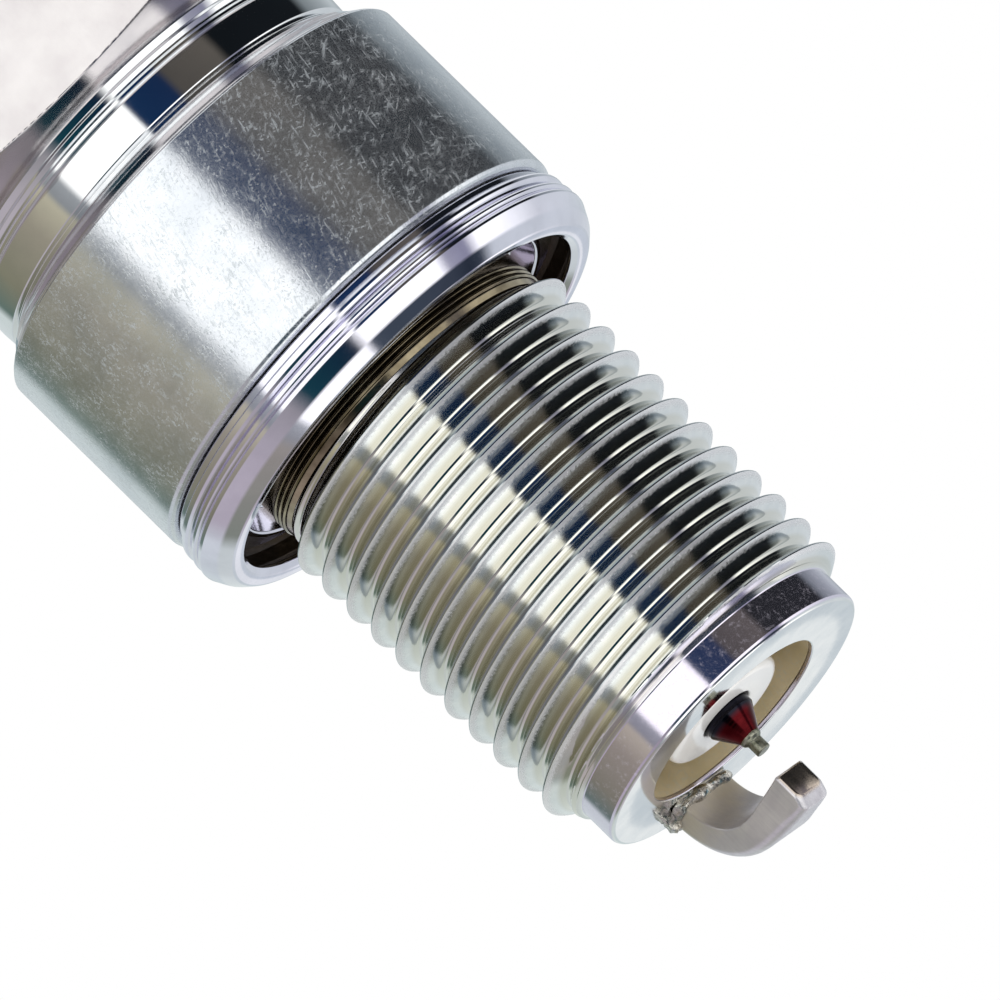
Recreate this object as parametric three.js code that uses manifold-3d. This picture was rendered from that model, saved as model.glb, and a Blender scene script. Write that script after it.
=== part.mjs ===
// Spark plug, M14 x 1.25 thread with 19 mm reach, 20.8 mm hexagon and a fine-wire centre electrode.
// Millimetres. Z is the plug's axis, with +Z towards the terminal. The origin is the centre of the
// seat plane, the flat underside of the flange that presses the gasket onto the cylinder head.

import * as THREE from 'three';
import { mergeVertices } from 'three/addons/utils/BufferGeometryUtils.js';
import Module from 'manifold-3d';

const wasm = await Module();
wasm.setup();

// ---- Driving dimensions ---------------------------------------------------------------------------

const REACH = 19;                      // seat plane to the shell's end face
const TERMINAL_HEIGHT = 51.2;          // seat plane to the top of the terminal nut
const ROUND = 40;                      // sides of a large round piece
const SMALL_ROUND = 24;                // sides of a small round piece
const GAP = 0.1;                       // between pieces that are bonded or pressed together

const thread = {
  majorRadius: 6.88, rootRadius: 6.2, pitch: 1.25, top: -2.4, bottom: -17.4, fade: 0.7, startAngle: -117,
};
const nose = { radius: 6.02, chamfer: 0.2 };
const relief = { radius: 6.25 };
const flange = { radius: 9.38, top: 8.18, edge: 0.25 };
const band = { bottom: 9.24, top: 10.85, radius: 8.17, crown: 0.25 };
const hexagon = {
  acrossFlats: 20.8, bottom: 11.5, top: 20.5,
  lowFace: 8.75, lowChamfer: 13, topFace: 9.7, topChamfer: 30,
};
const crimp = { radius: 8.3, top: 22.5, lipRadius: 5.75 };
const bore = {
  cavity: 7.4, cavityBottom: 12.1, coneDrop: 2.4, middle: 4.8, shelf: -6.2, shelfDrop: 0.9, lower: 3.87,
};

const insulator = {
  tip: -18.6, tipRadius: 2.55, noseRadius: 3.3, seat: -5.7, bodyRadius: 4.45,
  collarBottom: 12.7, collarTop: 16.1, collarRadius: 7.1, headRadius: 5.25, top: 41.7,
  ribs: 5, ribPitch: 2.6, ribTop: 39.3, ribDepth: 0.65,
  boreRadius: 2.1, step: -3.6, stepRise: 0.9, stemRadius: 1.1,
};

const electrode = {
  headRadius: 1.85, headTop: -2, stemRadius: 1, coneStart: -18.85, coneEnd: -19.78, coneRadius: 0.42,
};
const core = { radius: 0.6, top: -1.9, bottom: -15 };
const wire = { radius: 0.3, end: -20.5, top: -18.3 };

const seal = { bottom: -1.8, middle: 1.2, resistorTop: 10.2, top: 15.5 };
const stud = {
  shankRadius: 1.55, end: 12.2, collarRadius: 3.4, collarTop: 42.8, threadRadius: 2, top: 49.9,
};
const nut = { baseRadius: 4.4, waistRadius: 2.85, headRadius: 3.175, wall: 1, lift: 0.05 };

const gasket = {
  outer: 9.44, lipInner: 6.62, openInner: 8.0, bottom: -2.5, sheet: 0.42, top: -0.05, roll: 0.68,
};
const packing = { wire: 0.55, lowerRing: 18.25, upperRing: 21.05 };

const strap = {
  width: 2.5, thickness: 1.25, tipWidth: 1.4, tipThickness: 1.6, innerFace: -21.6, bend: 2, azimuth: 127.6,
  outerRadius: 5.25, tipReach: 0.3, taperLength: 3.1, chamfer: 0.3, chamferRun: 0.3, corner: 0.3, steps: 8,
};

// ---- Looks ----------------------------------------------------------------------------------------

function look(color, roughness, metalness) {
  return new THREE.MeshStandardMaterial({ color, roughness, metalness });
}

const platedSteel = () => look('#b9bcbd', 0.22, 1);
const nickel = () => look('#a5a19a', 0.35, 1);
const alumina = () => look('#f1efea', 0.3, 0);
const preciousMetal = () => look('#8f8c88', 0.3, 1);
const copper = () => look('#b56a3f', 0.35, 1);
const glassSeal = () => look('#3c3a3a', 0.5, 0.2);
const carbonGlass = () => look('#1f1e1d', 0.7, 0);
const talc = () => look('#d9d6cd', 0.9, 0);

// ---- Helpers --------------------------------------------------------------------------------------

const radians = THREE.MathUtils.degToRad;

// A round stretch of an outline, as points in (radius, z).
function arc(centreRadius, centreZ, radius, fromDegrees, toDegrees, steps) {
  const points = [];
  for (let i = 0; i <= steps; i += 1) {
    const angle = radians(fromDegrees + ((toDegrees - fromDegrees) * i) / steps);
    points.push([centreRadius + radius * Math.cos(angle), centreZ + radius * Math.sin(angle)]);
  }
  return points;
}

// Turns an outline of (radius, z) points, listed with the metal on its left, about the Z axis.
function revolve(outline, sides) {
  const profile = outline.map(([radius, z]) => new THREE.Vector2(radius, z));
  return new THREE.LatheGeometry(profile, sides).rotateX(Math.PI / 2);
}

// The same for a ring, whose outline closes on itself.
function revolveRing(outline, sides) {
  return revolve([...outline, outline[0]], sides);
}

function toSolid(geometry) {
  const bare = geometry.clone();
  bare.deleteAttribute('normal');
  bare.deleteAttribute('uv');
  const merged = mergeVertices(bare, 1e-4);
  const triVerts = [];
  for (let i = 0; i < merged.index.count; i += 3) {
    const [a, b, c] = merged.index.array.slice(i, i + 3);
    if (a !== b && b !== c && c !== a) triVerts.push(a, b, c);
  }
  const vertProperties = merged.attributes.position.array;
  const mesh = new wasm.Mesh({ numProp: 3, vertProperties, triVerts: new Uint32Array(triVerts) });
  return new wasm.Manifold(mesh);
}

function toGeometry(solid) {
  const { vertProperties, triVerts } = solid.getMesh();
  const geometry = new THREE.BufferGeometry();
  geometry.setAttribute('position', new THREE.BufferAttribute(vertProperties, 3));
  geometry.setIndex(new THREE.BufferAttribute(triVerts, 1));
  geometry.computeVertexNormals();
  return geometry;
}

function piece(name, geometry, material) {
  const mesh = new THREE.Mesh(geometry, material);
  mesh.name = name;
  return mesh;
}

// ---- Shell ----------------------------------------------------------------------------------------

// The thread as a closed bar. Its rows of points follow the helix, so crests and roots stay sharp, and
// at each end the rows run together on a plain circle.
function threadedBar() {
  const { majorRadius, rootRadius, pitch, top, bottom, fade, startAngle } = thread;
  const profile = [
    [0, majorRadius],
    [0.125, majorRadius],
    [0.44, rootRadius],
    [0.685, rootRadius],
  ];
  const turns = Math.ceil((top - bottom) / pitch) + 2;
  const rows = [];
  for (let turn = 0; turn <= turns; turn += 1) {
    for (const [share, radius] of profile) rows.push([bottom + (turn - 1 + share) * pitch, radius]);
  }
  const positions = [];
  const index = [];
  for (const [rowZ, rowRadius] of rows) {
    for (let side = 0; side < ROUND; side += 1) {
      const turnShare = side / ROUND;
      const z = THREE.MathUtils.clamp(rowZ + turnShare * pitch, bottom, top);
      const height = Math.min((z - bottom) / fade, (top - z) / fade, 1);
      const radius = rootRadius + (rowRadius - rootRadius) * height;
      const angle = turnShare * Math.PI * 2;
      positions.push(radius * Math.cos(angle), radius * Math.sin(angle), z);
    }
  }
  const bottomCentre = positions.push(0, 0, bottom) / 3 - 1;
  const topCentre = positions.push(0, 0, top) / 3 - 1;
  const at = (row, side) => {
    const wraps = side === ROUND;
    return (row + (wraps ? profile.length : 0)) * ROUND + (wraps ? 0 : side);
  };
  const lastRow = rows.length - profile.length - 1;
  for (let side = 0; side < ROUND; side += 1) {
    for (let row = 0; row < lastRow; row += 1) {
      index.push(at(row, side), at(row, side + 1), at(row + 1, side + 1));
      index.push(at(row, side), at(row + 1, side + 1), at(row + 1, side));
    }
    index.push(bottomCentre, at(0, side + 1), at(0, side));
    index.push(topCentre, at(lastRow, side), at(lastRow, side + 1));
  }
  const geometry = new THREE.BufferGeometry();
  geometry.setAttribute('position', new THREE.Float32BufferAttribute(positions, 3));
  geometry.setIndex(index);
  return geometry.rotateZ(radians(startAngle));
}

function noseBar() {
  const end = -REACH;
  return revolve([
    [0, end],
    [nose.radius - nose.chamfer, end],
    [nose.radius, end + nose.chamfer],
    [nose.radius, thread.bottom],
    [thread.rootRadius, thread.bottom + 0.1],
    [0, thread.bottom + 0.1],
  ], ROUND);
}

// Relief, flange and groove band, up into the hexagon.
function flangeBar() {
  const bandMiddle = (band.bottom + band.top) / 2;
  const crownSteps = 4;
  const crowned = [];
  for (let i = 0; i <= crownSteps; i += 1) {
    const across = -1 + (2 * i) / crownSteps;
    const z = bandMiddle + (across * (band.top - band.bottom)) / 2;
    crowned.push([band.radius + band.crown * (1 - across * across), z]);
  }
  return revolve([
    [0, thread.top - 0.1],
    [thread.rootRadius, thread.top - 0.1],
    [relief.radius, thread.top + 0.1],
    [relief.radius, 0],
    [flange.radius - flange.edge, 0],
    [flange.radius, flange.edge],
    [flange.radius, flange.top],
    ...crowned,
    [hexagon.lowFace - 0.2, hexagon.bottom],
    [hexagon.lowFace - 0.2, hexagon.bottom + 1],
    [0, hexagon.bottom + 1],
  ], ROUND);
}

// The hexagon's prism, with a flat facing -Y, cut by the chamfer cones at both ends.
function hexagonBar() {
  const apothem = hexagon.acrossFlats / 2;
  const corner = apothem / Math.cos(Math.PI / 6);
  const outline = new THREE.Shape();
  for (let i = 0; i < 6; i += 1) {
    const angle = (i * Math.PI) / 3;
    const [x, y] = [corner * Math.cos(angle), corner * Math.sin(angle)];
    if (i === 0) outline.moveTo(x, y);
    else outline.lineTo(x, y);
  }
  outline.closePath();
  const depth = hexagon.top - hexagon.bottom;
  const prism = new THREE.ExtrudeGeometry(outline, { depth, bevelEnabled: false, steps: 1 });
  prism.translate(0, 0, hexagon.bottom);
  const rim = corner + 1;
  const lowDrop = (rim - hexagon.lowFace) * Math.tan(radians(hexagon.lowChamfer));
  const topDrop = (rim - hexagon.topFace) * Math.tan(radians(hexagon.topChamfer));
  const cones = revolve([
    [0, hexagon.bottom],
    [hexagon.lowFace, hexagon.bottom],
    [rim, hexagon.bottom + lowDrop],
    [rim, hexagon.top - topDrop],
    [hexagon.topFace, hexagon.top],
    [0, hexagon.top],
  ], ROUND);
  return toSolid(prism).intersect(toSolid(cones));
}

// The rolled-over edge that holds the insulator down.
function crimpBar() {
  const rollRadius = 1.3;
  return revolve([
    [0, hexagon.top - 1],
    [crimp.radius, hexagon.top - 1],
    ...arc(crimp.radius - rollRadius, crimp.top - rollRadius, rollRadius, 0, 78, 4),
    [crimp.lipRadius + 0.35, crimp.top + 0.05],
    [crimp.lipRadius, crimp.top - 0.25],
    [0, crimp.top - 0.25],
  ], ROUND);
}

function shellBore() {
  const overrun = 1;
  return revolve([
    [0, -REACH - overrun],
    [bore.lower, -REACH - overrun],
    [bore.lower, bore.shelf - bore.shelfDrop],
    [bore.middle, bore.shelf],
    [bore.middle, bore.cavityBottom - bore.coneDrop],
    [bore.cavity, bore.cavityBottom],
    [bore.cavity, crimp.top - 1.35],
    [bore.cavity - 0.5, crimp.top - 0.85],
    [crimp.lipRadius, crimp.top - 0.8],
    [crimp.lipRadius, crimp.top + overrun],
    [0, crimp.top + overrun],
  ], ROUND);
}

function makeShell() {
  const body = toSolid(threadedBar())
    .add(toSolid(noseBar()))
    .add(toSolid(flangeBar()))
    .add(hexagonBar())
    .add(toSolid(crimpBar()))
    .subtract(toSolid(shellBore()));
  return piece('shell', toGeometry(body), platedSteel());
}

// ---- Gasket ---------------------------------------------------------------------------------------

// A folded ring, seen in section as a hook: a flat top lip that is captive on the shank, a fold at the
// outside, and a large roll below that is open towards the shank.
function makeGasket() {
  const { outer, lipInner, openInner, bottom, sheet, top, roll } = gasket;
  const rollRadius = outer - roll;
  const rollZ = bottom + roll;
  const foldRadius = outer - 0.2;
  const outline = [
    [lipInner, top - sheet],
    [rollRadius - sheet, top - sheet],
    [rollRadius - 0.27, top - sheet - 0.35],
    ...arc(rollRadius, rollZ, roll - sheet, 80, -80, 4),
    [openInner, bottom + sheet + 0.1],
    [openInner, bottom + 0.12],
    [rollRadius - 0.35, bottom],
    [rollRadius, bottom],
    ...arc(rollRadius, rollZ, roll, -60, 60, 5),
    [foldRadius, top - 1.05],
    [foldRadius - 0.08, top - 0.77],
    [foldRadius, top - 0.6],
    [foldRadius, top - 0.15],
    [foldRadius - 0.15, top],
    [lipInner, top],
  ];
  return piece('gasket', revolveRing(outline, ROUND), platedSteel());
}

// ---- Insulator and what is sealed in it -----------------------------------------------------------

// The ribs of the insulator's neck, from the lowest up, each one with a valley below and above it.
function ribOutline() {
  const { ribs, ribPitch, ribTop, ribDepth, headRadius } = insulator;
  const valley = headRadius - ribDepth;
  const points = [[headRadius, ribTop - (ribs - 1) * ribPitch - 2.15]];
  for (let rib = ribs - 1; rib >= 0; rib -= 1) {
    const high = ribTop - rib * ribPitch;
    points.push([valley, high - 1.75], [headRadius, high - 1.35], [headRadius, high - 0.4], [valley, high]);
  }
  return points;
}

function makeInsulator() {
  const { tip, tipRadius, noseRadius, seat, bodyRadius, collarBottom, collarTop, collarRadius } = insulator;
  const { headRadius, top, boreRadius, step, stepRise, stemRadius } = insulator;
  const edge = 0.3;
  const geometry = revolveRing([
    [stemRadius, tip],
    [tipRadius - edge, tip],
    [tipRadius, tip + edge],
    [noseRadius, seat - 1.2],
    [bodyRadius, seat],
    [bodyRadius, collarBottom - 2.7],
    [collarRadius, collarBottom],
    [collarRadius, collarTop],
    [collarRadius - 0.5, collarTop + 0.9],
    [headRadius, collarTop + 1.5],
    ...ribOutline(),
    [headRadius - 0.75, insulator.ribTop + 0.4],
    [headRadius - 0.85, top - 0.3],
    [headRadius - 1.15, top],
    [boreRadius, top],
    [boreRadius, step + stepRise],
    [stemRadius, step],
  ], ROUND);
  return piece('insulator', geometry, alumina());
}

function makeCentreElectrode() {
  const { headRadius, headTop, stemRadius, coneStart, coneEnd, coneRadius } = electrode;
  const headBottom = insulator.step + insulator.stepRise;
  const geometry = revolve([
    [0, wire.top + GAP],
    [wire.radius + GAP / 2, wire.top + GAP],
    [wire.radius + GAP / 2, coneEnd],
    [coneRadius, coneEnd],
    [stemRadius, coneStart],
    [stemRadius, insulator.step + GAP],
    [headRadius - 0.1, headBottom],
    [headRadius, headBottom + 0.2],
    [headRadius, headTop],
    [core.radius + GAP / 2, headTop],
    [core.radius + GAP / 2, core.bottom],
    [0, core.bottom],
  ], SMALL_ROUND);
  return piece('centre_electrode', geometry, nickel());
}

function rod(radius, bottom, top) {
  return revolve([[0, bottom], [radius, bottom], [radius, top], [0, top]], SMALL_ROUND);
}

function makeElectrodeCore() {
  return piece('electrode_core', rod(core.radius, core.bottom + GAP, core.top), copper());
}

function makeFiringTip() {
  return piece('firing_tip', rod(wire.radius, wire.end, wire.top), preciousMetal());
}

// A glass plug with a blind pocket for the metal end that it bonds.
function glassPlug(name, bottom, top, pocketRadius, pocketBottom) {
  const radius = insulator.boreRadius - GAP;
  const geometry = revolve([
    [0, bottom],
    [radius, bottom],
    [radius, top],
    [pocketRadius, top],
    [pocketRadius, pocketBottom],
    [0, pocketBottom],
  ], SMALL_ROUND);
  return piece(name, geometry, glassSeal());
}

function makeSeals() {
  const lowerPlug = rod(insulator.boreRadius - GAP, seal.bottom, seal.middle);
  const lower = piece('lower_glass_seal', lowerPlug, glassSeal());
  const upper = glassPlug('upper_glass_seal', seal.resistorTop + GAP, seal.top, stud.shankRadius + GAP,
    stud.end - GAP);
  const resistorRod = rod(insulator.boreRadius - GAP, seal.middle + GAP, seal.resistorTop);
  return [lower, piece('resistor', resistorRod, carbonGlass()), upper];
}

function makeTerminalStud() {
  const { shankRadius, end, collarRadius, collarTop, threadRadius, top } = stud;
  const chamfer = 0.3;
  const geometry = revolve([
    [0, end],
    [shankRadius - chamfer, end],
    [shankRadius, end + chamfer],
    [shankRadius, insulator.top + GAP / 2],
    [collarRadius, insulator.top + GAP / 2],
    [collarRadius, collarTop - 0.2],
    [collarRadius - 0.2, collarTop],
    [threadRadius, collarTop],
    [threadRadius, top - chamfer],
    [threadRadius - chamfer, top],
    [0, top],
  ], SMALL_ROUND);
  return piece('terminal_stud', geometry, platedSteel());
}

// A cap nut: its blind hole goes over the stud's thread, and its head has the standard snap groove.
function makeTerminalNut() {
  const { baseRadius, waistRadius, headRadius, wall, lift } = nut;
  const bottom = stud.collarTop + lift;
  const top = TERMINAL_HEIGHT;
  const hole = stud.threadRadius + GAP;
  const edge = 0.3;
  const geometry = revolve([
    [0, top - wall],
    [hole, top - wall],
    [hole, bottom],
    [baseRadius - edge, bottom],
    [baseRadius, bottom + edge],
    [baseRadius, bottom + 1.1],
    [baseRadius - edge, bottom + 1.4],
    [waistRadius + 0.5, bottom + 1.7],
    [waistRadius, bottom + 2.3],
    [waistRadius, bottom + 3.9],
    [headRadius, bottom + 4.5],
    [headRadius, top - 0.9],
    [headRadius - 0.9, top],
    [0, top],
  ], SMALL_ROUND);
  return piece('terminal_nut', geometry, platedSteel());
}

// ---- Packings between the insulator and the shell -------------------------------------------------

function makeWireRing(name, z) {
  const middle = (insulator.headRadius + bore.cavity) / 2;
  return piece(name, revolveRing(arc(middle, z, packing.wire, 0, 315, 7), ROUND), platedSteel());
}

function makeTalc() {
  const bottom = packing.lowerRing + packing.wire + GAP;
  const top = packing.upperRing - packing.wire - GAP;
  const inner = insulator.headRadius + GAP;
  const outer = bore.cavity - GAP;
  const geometry = revolveRing([[inner, bottom], [outer, bottom], [outer, top], [inner, top]], ROUND);
  return piece('talc_fill', geometry, talc());
}

// A thin conical washer between the insulator's seat and the shell's shelf.
function makeSeatPacking() {
  const outer = bore.middle - GAP;
  const inner = bore.lower + 0.15;
  const slope = bore.shelfDrop / (bore.middle - bore.lower);
  const floor = (radius) => bore.shelf - (bore.middle - radius) * slope + GAP;
  const thickness = 0.3;
  const geometry = revolveRing([
    [inner, floor(inner)],
    [outer, floor(outer)],
    [outer, floor(outer) + thickness],
    [inner, floor(inner) + thickness],
  ], ROUND);
  return piece('seat_packing', geometry, platedSteel());
}

// ---- Ground electrode -----------------------------------------------------------------------------

// The strap's centreline in its own plane, from the weld down, round the bend and in to the tip, as
// points of (distance from the axis, z) with the direction of travel in degrees.
function strapRoute() {
  const { thickness, innerFace, bend, outerRadius, tipReach, steps } = strap;
  const middleRadius = outerRadius - thickness / 2;
  const middleZ = innerFace - thickness / 2;
  const sweep = bend + thickness / 2;
  const centre = [middleRadius - sweep, middleZ + sweep];
  const route = [{ radius: middleRadius, z: -REACH, heading: -90 }];
  for (let i = 0; i <= steps; i += 1) {
    const turned = (90 * i) / steps;
    const angle = radians(-turned);
    const [radius, z] = [centre[0] + sweep * Math.cos(angle), centre[1] + sweep * Math.sin(angle)];
    route.push({ radius, z, heading: -90 - turned });
  }
  const tip = -tipReach;
  const taperStart = strap.taperLength - tipReach;
  if (centre[0] > taperStart) route.push({ radius: taperStart, z: middleZ, heading: -180 });
  route.push({ radius: tip + strap.chamferRun, z: middleZ, heading: -180 });
  route.push({ radius: tip, z: middleZ, heading: -180 });
  return route;
}

// The tip is pressed narrower and thicker than the rest of the strap.
function strapSize(radius, z) {
  const fromTip = Math.max(radius + strap.tipReach, 0) + Math.max(z - strap.innerFace, 0);
  const share = Math.min(fromTip / strap.taperLength, 1);
  return {
    halfWidth: (strap.tipWidth + (strap.width - strap.tipWidth) * share) / 2,
    thickness: strap.tipThickness + (strap.thickness - strap.tipThickness) * share,
  };
}

// One section of the strap: a rectangle with cut corners, from its inner face round to its outer face.
function strapSection(halfWidth, inner, outer, corner) {
  return [
    [-halfWidth + corner, outer],
    [-halfWidth, outer - corner],
    [-halfWidth, inner],
    [halfWidth, inner],
    [halfWidth, outer - corner],
    [halfWidth - corner, outer],
  ];
}

function makeGroundElectrode() {
  const route = strapRoute();
  const half = strap.thickness / 2;
  const positions = [];
  const index = [];
  route.forEach(({ radius, z, heading }, i) => {
    const outwards = radians(heading + 90);
    const normal = [Math.cos(outwards), Math.sin(outwards)];
    const cut = i === route.length - 1 ? strap.chamfer : 0;
    const { halfWidth, thickness } = strapSize(radius, z);
    const section = strapSection(halfWidth, -half, thickness - half - cut, strap.corner);
    for (const [across, out] of section) {
      positions.push(radius + normal[0] * out, across, z + normal[1] * out);
    }
  });
  const count = positions.length / 3 / route.length;
  for (let i = 0; i < route.length - 1; i += 1) {
    for (let k = 0; k < count; k += 1) {
      const [a, b] = [i * count + k, i * count + ((k + 1) % count)];
      index.push(a, b, a + count, b, b + count, a + count);
    }
  }
  const last = (route.length - 1) * count;
  for (let k = 1; k < count - 1; k += 1) {
    index.push(0, k + 1, k);
    index.push(last, last + k, last + k + 1);
  }
  const geometry = new THREE.BufferGeometry();
  geometry.setAttribute('position', new THREE.Float32BufferAttribute(positions, 3));
  geometry.setIndex(index);
  geometry.computeVertexNormals();
  const mesh = piece('ground_electrode', geometry, nickel());
  mesh.rotation.z = radians(strap.azimuth);
  mesh.position.z = -GAP / 2;
  return mesh;
}

// ---- Assembly -------------------------------------------------------------------------------------

const plug = new THREE.Group();
plug.name = 'spark_plug';

const seals = makeSeals();
plug.add(
  makeShell(),
  makeGasket(),
  makeInsulator(),
  makeCentreElectrode(),
  makeElectrodeCore(),
  makeFiringTip(),
  ...seals,
  makeTerminalStud(),
  makeTerminalNut(),
  makeWireRing('lower_packing_ring', packing.lowerRing),
  makeTalc(),
  makeWireRing('upper_packing_ring', packing.upperRing),
  makeSeatPacking(),
  makeGroundElectrode(),
);

export default plug;
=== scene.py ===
"""Looks for a spark plug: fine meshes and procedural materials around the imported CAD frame.

The row frame, with +Z towards the terminal. Lengths of pieces are in millimetres until a mesh is made,
and those of the camera and the floor are in metres. The camera stands on the -Y side and looks slightly
up at the firing end.
"""

import math

import bmesh
import bpy
import numpy as np
from mathutils import Matrix, Vector, noise


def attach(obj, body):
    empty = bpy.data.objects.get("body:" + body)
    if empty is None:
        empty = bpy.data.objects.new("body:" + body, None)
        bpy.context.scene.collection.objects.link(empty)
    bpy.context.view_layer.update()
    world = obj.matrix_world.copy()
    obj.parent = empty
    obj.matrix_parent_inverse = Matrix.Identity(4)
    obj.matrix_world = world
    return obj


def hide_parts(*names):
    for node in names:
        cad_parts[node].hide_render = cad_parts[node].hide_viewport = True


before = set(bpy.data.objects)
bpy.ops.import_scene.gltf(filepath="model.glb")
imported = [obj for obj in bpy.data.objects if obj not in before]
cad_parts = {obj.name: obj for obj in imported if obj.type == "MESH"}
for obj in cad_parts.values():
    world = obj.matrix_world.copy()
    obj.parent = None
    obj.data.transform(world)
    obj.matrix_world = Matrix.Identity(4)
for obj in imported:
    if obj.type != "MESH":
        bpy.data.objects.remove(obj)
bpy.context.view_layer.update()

MM = 0.001
SIDES = 256          # sides of a large round piece
SHANK_SIDES = 224    # sides of the thread and what joins it
SMALL_SIDES = 128    # sides of a small round piece

REACH = 19.0
TERMINAL_TOP = 51.2
THREAD = {"major": 6.88, "root": 6.16, "pitch": 1.25, "top": -2.75, "bottom": -17.4, "phase": 0.3}
NOSE_RADIUS = 6.02
RELIEF_RADIUS = 6.25
BORE_RADIUS = 3.87
FLANGE_RADIUS = 9.38
HIDDEN_RADIUS = 5.6  # where the outer pieces of the shell end, out of sight
HEXAGON = {"flats": 20.8, "bottom": 11.5, "top": 20.5, "low_face": 8.75, "low_chamfer": 13.0,
           "top_face": 9.7, "top_chamfer": 30.0}
STRAP = {"width": 2.5, "thickness": 1.25, "tip_width": 1.4, "tip_thickness": 1.6, "inner_face": -21.6,
         "bend": 2.25, "azimuth": 127.6, "outer": 5.25, "tip_reach": 0.3, "taper": 3.1}

# The camera looks up at the plug by RISE degrees, and the firing end points down and right.
RISE = 14.0
LEAN = 44.43
CAMERA_DISTANCE = 1.2
PICTURE_WIDTH = 0.03546
CAMERA_TARGET = Vector((-0.0002, 0.0, -0.00722))


# ---- Mesh helpers -----------------------------------------------------------------------------------

def fillet(corners, closed=True):
    """Points of a profile whose corners are (radius, z) or (radius, z, rounding).

    The profile runs in a loop, or from its first corner to its last where it isn't closed.
    """
    points = []
    count = len(corners)
    for i, corner in enumerate(corners):
        here = np.array(corner[:2], float)
        rounding = corner[2] if len(corner) > 2 else 0.0
        if rounding == 0.0 or (not closed and i in (0, count - 1)):
            points.append(here)
            continue
        back = np.array(corners[i - 1][:2], float) - here
        ahead = np.array(corners[(i + 1) % count][:2], float) - here
        reach = 0.48 * min(np.linalg.norm(back), np.linalg.norm(ahead))
        back /= np.linalg.norm(back)
        ahead /= np.linalg.norm(ahead)
        opening = math.acos(np.clip(back @ ahead, -1, 1))
        if math.pi - opening < 0.02:
            points.append(here)
            continue
        tangent = min(rounding / math.tan(opening / 2), reach)
        radius = tangent * math.tan(opening / 2)
        inward = (back + ahead) / np.linalg.norm(back + ahead)
        centre = here + inward * radius / math.sin(opening / 2)
        first = here + back * tangent - centre
        last = here + ahead * tangent - centre
        sweep = math.pi - opening
        steps = max(2, math.ceil(sweep / math.radians(12)))
        for k in range(steps + 1):
            share = k / steps
            blended = first * math.sin((1 - share) * sweep) + last * math.sin(share * sweep)
            points.append(centre + blended / math.sin(sweep))
    return [tuple(p) for p in points]


def arc(radius, z, size, start, end, steps):
    """Points of an arc about (radius, z), with its angles in degrees."""
    angles = np.radians(np.linspace(start, end, steps + 1))
    return [(radius + size * math.cos(a), z + size * math.sin(a)) for a in angles]


def add_piece(name, vertices, faces, body, material, replaces=(), sharp=35.0):
    """A mesh object from points in millimetres, smooth but for edges sharper than sharp degrees."""
    mesh = bpy.data.meshes.new(name)
    mesh.from_pydata((np.asarray(vertices) * MM).tolist(), [], faces)
    work = bmesh.new()
    work.from_mesh(mesh)
    bmesh.ops.remove_doubles(work, verts=work.verts, dist=1e-7)
    bmesh.ops.dissolve_degenerate(work, edges=work.edges, dist=1e-7)
    bmesh.ops.recalc_face_normals(work, faces=work.faces)
    work.to_mesh(mesh)
    work.free()
    mesh.polygons.foreach_set("use_smooth", [True] * len(mesh.polygons))
    mesh.set_sharp_from_angle(angle=math.radians(sharp))
    mesh.materials.append(material)
    piece = bpy.data.objects.new(name, mesh)
    bpy.context.scene.collection.objects.link(piece)
    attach(piece, body)
    if replaces:
        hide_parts(*replaces)


def lathe(profile, sides, closed=True):
    """Vertices and faces of a profile turned about Z: a closed ring, or a skin from end to end."""
    vertices = []
    rows = []
    angles = np.linspace(0, 2 * math.pi, sides, endpoint=False)
    for radius, z in profile:
        start = len(vertices)
        if radius < 1e-6:
            vertices.append((0.0, 0.0, z))
            rows.append([start] * sides)
        else:
            vertices.extend((radius * math.cos(a), radius * math.sin(a), z) for a in angles)
            rows.append(list(range(start, start + sides)))
    if closed:
        rows.append(rows[0])
    return vertices, skin(rows)


def skin(rows):
    """Faces between rows of vertex numbers that each go once round."""
    faces = []
    for low, high in zip(rows, rows[1:]):
        for i in range(len(low)):
            j = (i + 1) % len(low)
            loop = [low[i], low[j], high[j], high[i]]
            corners = list(dict.fromkeys(loop))
            if len(corners) > 2:
                faces.append(corners)
    return faces


def thread_block(major, root, pitch, top, bottom, phase, sides, rows_per_turn, fades):
    """An open tube whose rows follow a right-hand helix and lie level at both ends, with rounded roots.

    phase turns the helix, as a share of one turn. fades are the lengths at the top and at the bottom over
    which the ridge dies out.
    """
    def smoothed(share, reach):
        samples = (share + np.linspace(-reach, reach, 9)[:, None]) % 1.0
        crest_flank_root = ([0, 0.03, 0.39, 0.61, 0.97, 1], [1, 1, 0, 0, 1, 1])
        return np.interp(samples, *crest_flank_root).mean(0)

    def height(share):
        crest = smoothed(share, 0.018)
        return crest * crest + (1 - crest) * smoothed(share, 0.08)

    turns = math.ceil((top - bottom) / pitch) + 2
    total = turns * rows_per_turn
    row = np.arange(total + rows_per_turn + 1)[:, None] / rows_per_turn
    column = np.arange(sides)[None, :] / sides
    z = np.clip(bottom + (row - 1 + column) * pitch, bottom, top)
    fade_top, fade_bottom = fades
    near_top = np.clip((top - z) / fade_top, 0, 1)
    near_bottom = np.clip((z - bottom) / fade_bottom, 0, 1)
    strength = np.minimum(near_bottom, near_top)
    strength = strength * strength * (3 - 2 * strength)
    lift = height((row[:, 0] - phase) % 1.0)[:, None]
    radius = root + (major - root) * lift * strength
    angle = column * 2 * math.pi
    vertices = np.stack([radius * np.cos(angle), radius * np.sin(angle), z], axis=-1).reshape(-1, 3)
    faces = []
    for i in range(total):
        for j in range(sides):
            k, low = (j + 1, i) if j + 1 < sides else (0, i + rows_per_turn)
            faces.append([i * sides + j, low * sides + k, (low + 1) * sides + k, (i + 1) * sides + j])
    return vertices, faces


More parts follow.
